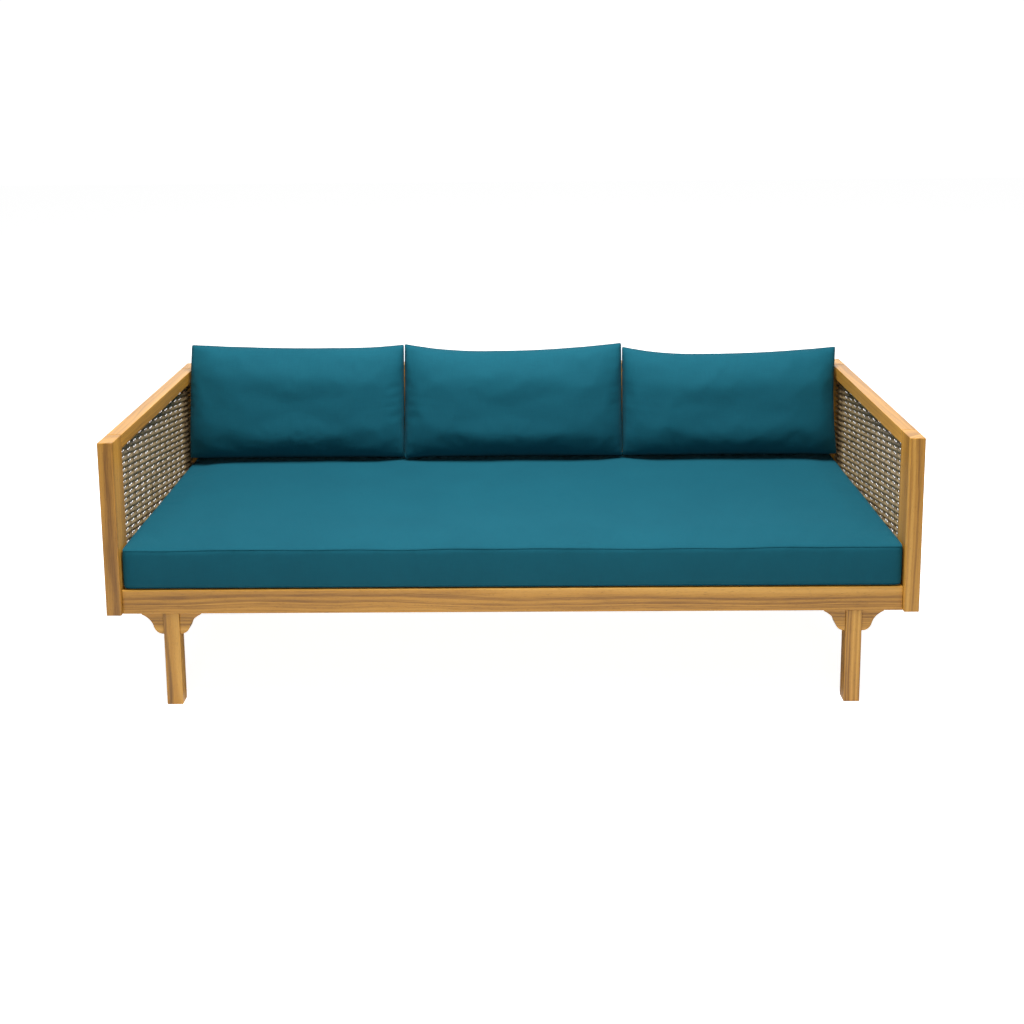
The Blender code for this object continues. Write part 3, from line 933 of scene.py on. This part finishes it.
def back_cover(name, node, settings):
    """A back cushion's cover, two panels joined at a leaning knife edge."""
    left, right, top, feet = BACK_SEAMS[node]
    low, high = (Vector(c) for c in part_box(node))
    foot_z = low.z + settings.back_foot
    slope = math.tan(settings.back_lean)
    back = np.array((0.0, math.cos(settings.back_lean), -math.sin(settings.back_lean)))
    cell = settings.back_cell
    counts = (
        2 * round((right[1] - left[1]) / cell / 2),
        1,
        2 * round((top[1] - foot_z) / cell / 2),
    )
    share = settings.back_start
    middle_z = (top[1] + foot_z) / 2
    middle_y = high.y - settings.back_thick / 2 - BACK_ROOM

    def place(unit):
        u, side, w = unit
        lowest = top[3]
        end = top[0] if u < lowest else top[2]
        bend = (u - lowest) / (1 + lowest if u < lowest else 1 - lowest)
        crest = top[1] + (end - top[1]) * abs(bend) ** 2.2
        x = left_at = through(*left, w)
        x += (through(*right, w) - left_at) * (u + 1) / 2
        # Just inside the side seams the filling stands out, so the cover stays full to its edge.
        swelling = abs(u) ** 12 * (1 - abs(u) ** 40) * (1 - w**4)
        x += math.copysign(2 * settings.back_bulge * swelling, u)
        z = foot_z + (crest - foot_z) * (w + 1) / 2
        fall_u = max(0.0, 1 - abs(u) ** 6.0) ** 0.58
        fall_w = max(0.0, 1 - abs(w) ** 3.5) ** 0.55
        thick = settings.back_thick * share * fall_u * fall_w
        y = middle_y + (z - middle_z) * slope
        forward = feet[0] if u < 0 else feet[1]
        y -= forward * abs(u) ** 6 * ((1 - w) / 2) ** 3
        return tuple(np.array((x, y, z)) + back * side * thick / 2)

    def chart(_axis, point):
        return (point[0] * cell, point[2] * cell)

    def same(point):
        rim = point[0] in (0, counts[0]) or point[2] in (0, counts[2])
        return (point[0], 0, point[2]) if rim else point

    panels = [(1, -1, 0), (1, 1, 1)]
    mesh, units = panel_shell(name, counts, panels, place, chart, same)
    return mesh, units, back


def make_back_cushion(node, settings, seat):
    """Fills a back cushion's cover, sizes it to its bay and stands it on the seat."""
    high_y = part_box(node)[1][1]
    name = f"{node}_cover"
    mesh, units, back = back_cover(name, node, settings)
    piece = add_piece(name, mesh)
    flat = points_of(mesh)
    swell(
        piece,
        settings.back_pressure,
        BACK_REACH,
        settings.back_growth,
        settings.back_stiffness,
        settings.back_creases,
    )
    points = points_of(piece.data)
    u, _, w = units.T
    inside = 1 - np.maximum(np.abs(u), np.abs(w))
    seam = inside < 1e-6
    # The seam lies in one leaning plane; the filling stands off it on both sides.
    middle = flat[seam].mean(axis=0)
    off = (points - middle) @ back
    scale = settings.back_thick / (off.max() - off.min())
    points += np.outer(off * (scale - 1), back) * np.where(seam, 0.0, 1.0)[:, None]
    # Stitching gathers the cloth into small puckers that fade away from the seam.
    for at, edge in ((points[:, 0], np.abs(w)), (points[:, 2], np.abs(u))):
        fade = np.exp(-(1 - edge) * 7.0) * np.where(seam, 0.0, 1.0)
        beat = 0.6 + 0.4 * np.sin(21.0 * at + 2.0)
        pucker = settings.back_pucker * beat * np.sin(170.0 * at + 3.0 * np.sin(31.0 * at))
        points += np.outer(pucker * fade * np.sign(off), back)
    # Filling settles: the belly sits a little below the middle.
    points[:, 2] -= CUSHION_SAG * (1 - w * w) * (1 - u * u)
    points[:, 1] += min(0.0, high_y - points[:, 1].max())
    move_points(piece.data, points)
    subdivide(piece)
    points = settle(points_of(piece.data), seat)
    # Smoothing draws the ends in; they go back out to their place in the row.
    left, right = min(BACK_SEAMS[node][0]), max(BACK_SEAMS[node][1])
    ends = points[:, 0].min(), points[:, 0].max()
    points[:, 0] = np.interp(points[:, 0], ends, (left, right))
    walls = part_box("arm_left_top_rail")[1][0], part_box("arm_right_top_rail")[0][0]
    points[:, 0] = np.clip(points[:, 0], walls[0] + WALL_ROOM, walls[1] - WALL_ROOM)
    move_points(piece.data, points)
    return piece


def settle(points, seat):
    """Flattens what would sink into the seat cushion where a back cushion stands on it."""
    ground = BVHTree.FromObject(seat, bpy.context.evaluated_depsgraph_get())
    limit = points[:, 2].min() + FOOT_ZONE
    for point in points:
        if point[2] > limit:
            continue
        hit = ground.ray_cast(Vector((point[0], point[1], 1.0)), Vector((0, 0, -1)))
        if hit[0] is not None:
            point[2] = max(point[2], hit[0].z + SEAT_ROOM)
    return points


# ---------------------------------------------------------------- screws


def screw_graph():
    """Countersunk cross-head screws at a mesh's points, facing up."""
    graph = Graph.group(
        "deck_screws",
        "GeometryNodeTree",
        (
            ("Geometry", "NodeSocketGeometry"),
            ("Head Radius", "NodeSocketFloat"),
            ("Head Height", "NodeSocketFloat"),
            ("Material", "NodeSocketMaterial"),
        ),
        (("Geometry", "NodeSocketGeometry"),),
    )
    size = graph.source
    head = graph.add(
        "GeometryNodeMeshCone",
        {
            "Vertices": 16,
            "Radius Top": graph.math("MULTIPLY", size["Head Radius"], 0.86),
            "Radius Bottom": size["Head Radius"],
            "Depth": size["Head Height"],
        },
    ).outputs["Mesh"]
    long = graph.math("MULTIPLY", size["Head Radius"], 1.15)
    slim = graph.math("MULTIPLY", size["Head Radius"], 0.24)
    cross = graph.add("GeometryNodeMeshBoolean", operation="DIFFERENCE", solver="EXACT")
    graph.feed(cross.inputs["Mesh 1"], head)
    for length, width in ((long, slim), (slim, long)):
        bar = graph.add(
            "GeometryNodeMeshCube",
            {"Size": graph.join(length, width, size["Head Height"])},
        )
        bar = graph.add(
            "GeometryNodeTransform",
            {
                "Geometry": bar.outputs["Mesh"],
                "Translation": graph.join(0.0, 0.0, size["Head Height"]),
            },
        )
        graph.feed(cross.inputs["Mesh 2"], bar.outputs[0])
    placed = graph.add(
        "GeometryNodeInstanceOnPoints",
        {"Points": size["Geometry"], "Instance": cross.outputs["Mesh"]},
    )
    turned = graph.add(
        "FunctionNodeRandomValue",
        {"Min": (0.0, 0.0, 0.0), "Max": (0.0, 0.0, 1.57), "Seed": 7},
        data_type="FLOAT_VECTOR",
    )
    spun = graph.add("FunctionNodeEulerToRotation", {"Euler": turned.outputs[0]})
    graph.feed(placed.inputs["Rotation"], spun.outputs[0])
    return graph.close(placed.outputs[0])


# ---------------------------------------------------------------- settings


def length_setting(name, description, default):
    """A size in the scene's length unit."""
    return FloatProperty(name=name, description=description, default=default, unit="LENGTH")


def angle_setting(name, description, default):
    """An angle."""
    return FloatProperty(name=name, description=description, default=default, subtype="ANGLE")


def plain_setting(name, description, default):
    """A number without a unit."""
    return FloatProperty(name=name, description=description, default=default)


def colour_setting(name, description, default):
    """A colour as red, green and blue."""
    return FloatVectorProperty(name=name, description=description, default=default, subtype="COLOR")


class DaybedTimber(bpy.types.PropertyGroup):
    """Colours and relief of the frame and deck."""

    light: colour_setting("Light grain", "Palest colour of the oiled frame", (0.59, 0.309, 0.058))
    middle: colour_setting("Middle grain", "Main colour of the oiled frame", (0.455, 0.215, 0.030))
    dark: colour_setting("Dark grain", "Colour of the late-wood lines", (0.21, 0.089, 0.013))
    streak: colour_setting("Streak", "Colour of mineral streaks and pores", (0.050, 0.021, 0.007))
    relief: length_setting("Relief", "Depth of the open grain", 0.0004)


class DaybedWeave(bpy.types.PropertyGroup):
    """Sizes and colours of the woven panels."""

    stake_spacing: length_setting("Stake spacing", "Distance between uprights", 0.0477)
    first_stake: length_setting(
        "First stake", "From the front post to the first upright of an end", 0.011
    )
    stake_radius: length_setting("Stake radius", "Radius of an upright", 0.0009)
    row_pitch: length_setting("Row pitch", "Height of one woven row", 0.008)
    strand_radius: length_setting("Strand radius", "Half the height of a woven strand", 0.0044)
    strand_flatness: plain_setting(
        "Strand flatness", "Thickness of a woven strand as a share of its height", 0.90
    )
    bow: length_setting(
        "Bow", "How far a strand stands off the middle as it passes an upright", 0.0037
    )
    light: colour_setting("Light strand", "Palest strand colour", (0.40, 0.290, 0.148))
    dark: colour_setting("Dark strand", "Darkest strand colour", (0.112, 0.074, 0.033))


class DaybedCushions(bpy.types.PropertyGroup):
    """Sizes, filling and colour of the cushions."""

    base: colour_setting("Cloth", "Main colour of the cover cloth", (0.0052, 0.093, 0.131))
    deep: colour_setting("Deep cloth", "Darker colour between the threads", (0.0036, 0.075, 0.109))
    thread: length_setting("Thread pitch", "Distance between two threads", 0.0011)
    welt: length_setting("Welt radius", "Radius of the ridge along a seam", 0.0014)
    seat_height: length_setting(
        "Seat edge height", "Height of the seat cushion's side panel", 0.103
    )
    seat_dome: length_setting("Seat dome", "Rise of the seat's middle before filling", 0.006)
    seat_corner: length_setting(
        "Seat corner", "Radius of the seat cushion's corners seen from above", 0.010
    )
    seat_lift: length_setting(
        "Lower seam lift", "How far the seat's lower seam sits above the deck", 0.004
    )
    seat_cell: length_setting("Seat mesh size", "Cell size of the seat cover", 0.015)
    seat_pressure: plain_setting("Seat pressure", "Filling pressure of the seat", 1.0)
    seat_stiffness: plain_setting(
        "Seat stiffness", "How little the seat's cover cloth stretches", 30.0
    )
    back_cell: length_setting("Back mesh size", "Cell size of a back cushion's cover", 0.0088)
    back_thick: length_setting("Back thickness", "Thickness of a filled back cushion", 0.138)
    back_start: plain_setting(
        "Back start", "Share of its thickness that a back cushion has before filling", 0.88
    )
    back_growth: plain_setting(
        "Back growth", "How much larger a back cover is cut than its seams", 0.02
    )
    back_creases: plain_setting(
        "Back creases", "How much of the filling's creasing stays in the cloth", 0.32
    )
    back_foot: length_setting(
        "Back foot", "Height of a back cushion's lower seam above the seat", 0.009
    )
    back_bulge: length_setting(
        "Back bulge", "How much a back cushion fills out just inside its side seams", 0.0038
    )
    back_pucker: length_setting(
        "Back pucker", "Height of the puckers beside a back cushion's seams", 0.0010
    )
    back_pressure: plain_setting("Back pressure", "Filling pressure of a back cushion", 0.4)
    back_stiffness: plain_setting("Back stiffness", "How little the cover cloth stretches", 25.0)
    back_lean: angle_setting("Back lean", "How far the back cushions lean back", math.radians(8.0))


class DaybedStage(bpy.types.PropertyGroup):
    """Camera and light."""

    distance: length_setting("Camera distance", "In front of the middle of the daybed", 3.278)
    height: length_setting("Camera height", "Above the floor", 1.570)
    aside: length_setting("Camera aside", "To the right of the middle of the daybed", 0.0313)
    pitch: angle_setting("Camera pitch", "How far the camera looks down", math.radians(8.29))
    yaw: angle_setting("Camera yaw", "How far the camera looks to the left", math.radians(0.46))
    roll: angle_setting("Camera roll", "How far the camera tips to one side", math.radians(-0.49))
    lens: plain_setting("Lens", "Focal length in millimetres", 43.28)
    shift: plain_setting("Vertical shift", "Lens shift, as a share of the frame's width", -0.258)
    top_light: plain_setting("Top light", "Power of the large overhead light", 162.0)
    front_light: plain_setting("Front light", "Power of the light by the camera", 31.0)
    back_light: plain_setting("Back light", "Power of the light behind the daybed", 48.0)
    around: plain_setting("Surrounding light", "Strength of the even light from all round", 0.14)


# ---------------------------------------------------------------- operators


class DAYBED_OT_timber(bpy.types.Operator):
    """Gives every timber member its own oiled grain"""

    bl_idname = "daybed.timber"
    bl_label = "Timber"

    def execute(self, context):
        """Makes one material for each board, and one for the two brackets of a leg."""
        look = context.scene.daybed_timber
        colours = [tuple(c) for c in (look.light, look.middle, look.dark, look.streak)]
        deck = [tuple(0.86 * v for v in c) for c in colours]
        made = {}
        number = 0
        for part in frame["record"]["subparts"]:
            node = part["node"]
            if "hardwood" not in part["material_slot"]:
                continue
            key = node[:-2] if node.startswith("bracket") else node
            if key not in made:
                number += 1
                grain = "X" if node.startswith("bracket") else longest_axis(node)
                shades = deck if part["material_slot"] == "deck_hardwood" else colours
                made[key] = timber(
                    f"timber_{key}", grain, heart_of(node, grain, number), shades, look.relief
                )
            mesh_slots = NODES[node].data.materials
            mesh_slots.clear()
            mesh_slots.append(made[key])
        return {"FINISHED"}


class DAYBED_OT_hardware(bpy.types.Operator):
    """Finishes the bolts and drives two screws through each end of each slat"""

    bl_idname = "daybed.hardware"
    bl_label = "Bolts and screws"

    def execute(self, context):
        """Sets the bolts' steel and places the deck screws."""
        finish = steel("bolt_steel_turned")
        slats = []
        for part in frame["record"]["subparts"]:
            node = part["node"]
            if node.startswith("bolt_"):
                NODES[node].data.materials.clear()
                NODES[node].data.materials.append(finish)
            if node.startswith("slat_"):
                slats.append(node)
        points = []
        for node in slats:
            low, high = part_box(node)
            for y in (low[1] + SCREW_FROM_END, high[1] - SCREW_FROM_END):
                for x in (low[0] + SCREW_FROM_EDGE, high[0] - SCREW_FROM_EDGE):
                    points.append((x, y, high[2] - SCREW_SUNK))
        values = {"Head Radius": 0.0042, "Head Height": 0.0007, "Material": finish}
        mesh = run_graph(
            "deck_screws", empty_mesh("screw_points", points), screw_graph(), values
        )
        piece = add_piece("deck_screws", mesh)
        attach(piece, "frame")
        return {"FINISHED"}


class DAYBED_OT_woven_panels(bpy.types.Operator):
    """Weaves the end and back panels from real strands"""

    bl_idname = "daybed.woven_panels"
    bl_label = "Woven panels"

    def execute(self, context):
        """Replaces every woven slab."""
        look = context.scene.daybed_weave
        finish = strand("woven_strand_ridged", look.light, look.dark)
        graph = weave_graph()
        for part in frame["record"]["subparts"]:
            if part["material_slot"] == "woven_strand":
                woven_panel(part["node"], graph, look, finish)
        return {"FINISHED"}


class DAYBED_OT_cushions(bpy.types.Operator):
    """Sews and fills the seat cushion and the back cushions"""

    bl_idname = "daybed.cushions"
    bl_label = "Cushions"

    def execute(self, context):
        """Makes the seat first, because the back cushions stand on it."""
        look = context.scene.daybed_cushions
        finish = cloth("cover_cloth", tuple(look.base), tuple(look.deep), look.thread)
        graph = welt_graph()
        seat = make_seat_cushion(look)
        made = [(seat, "seat_cushion", 0.8)]
        for node in BACK_CUSHIONS:
            made.append((make_back_cushion(node, look, seat), node, 0.7))
        for piece, node, fill in made:
            sew_welt(piece, graph, look.welt, finish, node)
            finish_cushion(piece, node, finish, fill)
        return {"FINISHED"}


class DAYBED_OT_stage(bpy.types.Operator):
    """Sets up the floor, the lights and the camera"""

    bl_idname = "daybed.stage"
    bl_label = "Stage"

    def execute(self, context):
        """Builds the studio round the daybed."""
        look = context.scene.daybed_stage
        scene = context.scene
        scene.view_settings.view_transform = "Standard"
        self.floor()
        self.surroundings(scene, look.around)
        middle = (0.0, 0.0, 0.4)
        self.lamp("top_light", (0.0, -0.68, 3.1), middle, (1.6, 1.1), look.top_light)
        self.lamp("front_light", (0.0, -4.2, 2.1), middle, (2.4, 1.6), look.front_light)
        self.lamp("back_light", (0.0, 3.2, 1.7), middle, (5.0, 2.6), look.back_light)
        camera = bpy.data.objects.new("camera", bpy.data.cameras.new("camera"))
        scene.collection.objects.link(camera)
        camera.location = (look.aside, -look.distance, look.height)
        turn = Matrix.Rotation(look.yaw, 3, "Z")
        turn @= Matrix.Rotation(math.pi / 2 - look.pitch, 3, "X")
        turn @= Matrix.Rotation(look.roll, 3, "Z")
        camera.rotation_euler = turn.to_euler()
        camera.data.lens = look.lens
        camera.data.sensor_width = 36.0
        camera.data.shift_y = look.shift
        scene.camera = camera
        return {"FINISHED"}

    def floor(self):
        """A wide pale floor."""
        mesh = bpy.data.meshes.new("floor")
        side = 14.0
        corners = [(-side, -side, 0), (side, -side, 0), (side, side, 0), (-side, side, 0)]
        mesh.from_pydata(corners, [], [(0, 1, 2, 3)])
        material, graph, shader = new_material("floor_paint")
        place = graph.add("ShaderNodeTexCoord").outputs["Object"]
        soft = graph.noise(place, 0.8, 2.0)
        tint = graph.blend(soft, opaque((0.90, 0.90, 0.90)), opaque((0.93, 0.93, 0.93)))
        graph.feed(shader.inputs["Base Color"], tint)
        shader.inputs["Roughness"].default_value = 0.9
        shader.inputs["Specular IOR Level"].default_value = 0.1
        shader.inputs["Emission Color"].default_value = (1.0, 1.0, 1.0, 1.0)
        seen = graph.add("ShaderNodeLightPath").outputs["Is Camera Ray"]
        lift = graph.math("MULTIPLY", seen, 0.86)
        graph.feed(shader.inputs["Emission Strength"], lift)
        add_piece("floor", mesh, material)

    def surroundings(self, scene, strength):
        """Even white light from all round, against a plain white backdrop."""
        world = bpy.data.worlds.new("studio")
        scene.world = world
        world.use_nodes = True
        graph = Graph(world.node_tree)
        back = world.node_tree.nodes["Background"]
        back.inputs["Color"].default_value = (1.0, 1.0, 1.0, 1.0)
        seen = graph.add("ShaderNodeLightPath").outputs["Is Camera Ray"]
        power = graph.math("MULTIPLY_ADD", seen, 1.05 - strength, strength)
        graph.feed(back.inputs["Strength"], power)

    def lamp(self, name, place, target, size, power):
        """A large flat light aimed at a point."""
        light = bpy.data.lights.new(name, "AREA")
        light.shape = "RECTANGLE"
        light.size, light.size_y = size
        light.energy = power
        thing = bpy.data.objects.new(name, light)
        bpy.context.scene.collection.objects.link(thing)
        thing.location = place
        aim = Vector(target) - Vector(place)
        thing.rotation_euler = aim.to_track_quat("-Z", "Y").to_euler()


class DAYBED_PT_panel(bpy.types.Panel):
    """Lists the daybed's steps in the sidebar"""

    bl_idname = "DAYBED_PT_panel"
    bl_label = "Daybed"
    bl_space_type = "VIEW_3D"
    bl_region_type = "UI"
    bl_category = "Daybed"

    def draw(self, context):
        """One button for each step, with its settings under it."""
        for operator, settings in STEPS:
            self.layout.operator(operator.bl_idname)
            group = getattr(context.scene, settings, None)
            if group:
                for name in group.__annotations__:
                    self.layout.prop(group, name)


SETTINGS = {
    "daybed_timber": DaybedTimber,
    "daybed_weave": DaybedWeave,
    "daybed_cushions": DaybedCushions,
    "daybed_stage": DaybedStage,
}
STEPS = (
    (DAYBED_OT_timber, "daybed_timber"),
    (DAYBED_OT_hardware, ""),
    (DAYBED_OT_woven_panels, "daybed_weave"),
    (DAYBED_OT_cushions, "daybed_cushions"),
    (DAYBED_OT_stage, "daybed_stage"),
)
CLASSES = (*SETTINGS.values(), *(step[0] for step in STEPS), DAYBED_PT_panel)


def register():
    """Adds the classes and the scene's settings."""
    for kind in CLASSES:
        bpy.utils.register_class(kind)
    for name, kind in SETTINGS.items():
        setattr(bpy.types.Scene, name, PointerProperty(type=kind))


def unregister():
    """Takes them away again."""
    for name in SETTINGS:
        delattr(bpy.types.Scene, name)
    for kind in reversed(CLASSES):
        bpy.utils.unregister_class(kind)


def main():
    """Runs every step."""
    register()
    bpy.ops.daybed.timber()
    bpy.ops.daybed.hardware()
    bpy.ops.daybed.woven_panels()
    bpy.ops.daybed.cushions()
    bpy.ops.daybed.stage()


if __name__ == "__main__":
    main()
